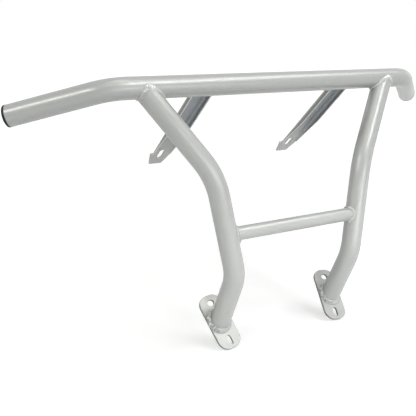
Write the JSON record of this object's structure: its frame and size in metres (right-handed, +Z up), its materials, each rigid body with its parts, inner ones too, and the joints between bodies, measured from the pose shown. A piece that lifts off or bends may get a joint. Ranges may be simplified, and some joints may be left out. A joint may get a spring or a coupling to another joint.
{
  "type": "rear bumper",
  "caption": "Welded tube rear bumper with a swept top rail, bent uprights, a cross tube, slotted foot plates and channel braces.",
  "frame": {"origin": "middle of the top rail, on the tube's axis", "axes": "+X along the rail, +Y towards the vehicle, +Z up with the rail level, as pictured"},
  "size_m": [0.9664, 0.2703, 0.4964],
  "materials": {
    "silver_coat": "silver powder coat, satin",
    "weld_coat": "silver powder coat over a rippled weld bead",
    "black_plastic": "moulded black plastic"
  },
  "bodies": {
    "root": {"top_rail": "silver_coat", "left_upright": "silver_coat", "right_upright": "silver_coat", "cross_tube": "silver_coat", "left_foot_plate": "silver_coat", "right_foot_plate": "silver_coat", "left_brace": "silver_coat", "right_brace": "silver_coat", "left_end_plug": "black_plastic", "right_end_plug": "black_plastic", "left_top_weld": "weld_coat", "right_top_weld": "weld_coat", "left_cross_weld": "weld_coat", "right_cross_weld": "weld_coat", "left_foot_weld": "weld_coat", "right_foot_weld": "weld_coat", "left_brace_weld": "weld_coat", "right_brace_weld": "weld_coat"}
  },
  "joints": []
}
